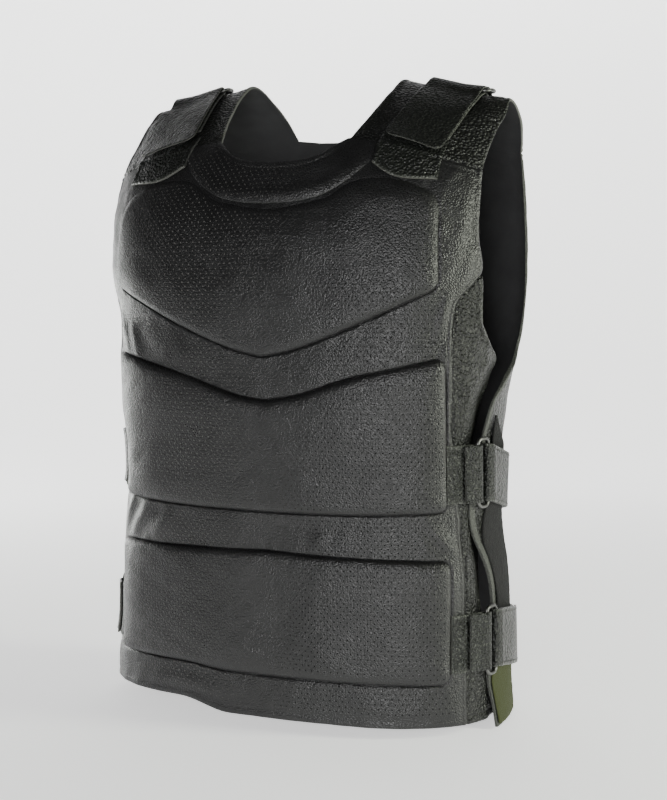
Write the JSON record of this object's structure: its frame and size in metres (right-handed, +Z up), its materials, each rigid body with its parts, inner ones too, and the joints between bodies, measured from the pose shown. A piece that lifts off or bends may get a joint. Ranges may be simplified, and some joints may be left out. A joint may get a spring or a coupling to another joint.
{
  "type": "motorcycle vest",
  "caption": "Padded black leather riding vest with perforated front pads, folded shoulder straps and adjustable side straps on wire rings.",
  "frame": {"origin": "between the shoulders, at the height where the inner face of the shoulder panels rests on the wearer", "axes": "+X towards the wearer's left side, -Y towards the front, +Z up"},
  "size_m": [0.4174, 0.2792, 0.6474],
  "materials": {
    "perforated_leather": "fine-grained black leather with punched holes, soft sheen",
    "pebbled_leather": "coarse pebbled black leather, soft sheen",
    "strap_leather": "coarse pebbled black leather with cut edges and topstitching",
    "loop_tape": "matt looped pile",
    "ring_wire": "dull grey plated wire"
  },
  "bodies": {
    "root": {"front_panel": "perforated_leather", "chest_pad": "perforated_leather", "waist_pad": "perforated_leather", "belly_pad": "perforated_leather", "neck_yoke": "perforated_leather", "back_panel": "pebbled_leather", "shoulder_panel_left": "pebbled_leather", "shoulder_panel_right": "pebbled_leather", "side_gusset_left": "pebbled_leather", "side_gusset_right": "pebbled_leather", "loop_strip_left": "loop_tape", "loop_strip_right": "loop_tape", "shoulder_tab_left": "strap_leather", "shoulder_tab_right": "strap_leather", "shoulder_strap_left": "strap_leather", "shoulder_strap_right": "strap_leather", "shoulder_anchor_left": "strap_leather", "shoulder_anchor_right": "strap_leather", "shoulder_ring_left": "ring_wire", "shoulder_ring_right": "ring_wire", "side_tab_left_upper": "strap_leather", "side_tab_left_lower": "strap_leather", "side_tab_right_upper": "strap_leather", "side_tab_right_lower": "strap_leather", "side_ring_left_upper": "ring_wire", "side_ring_left_lower": "ring_wire", "side_ring_right_upper": "ring_wire", "side_ring_right_lower": "ring_wire", "side_strap_left_upper": "strap_leather", "side_strap_left_lower": "strap_leather", "side_strap_right_upper": "strap_leather", "side_strap_right_lower": "strap_leather"}
  },
  "joints": []
}
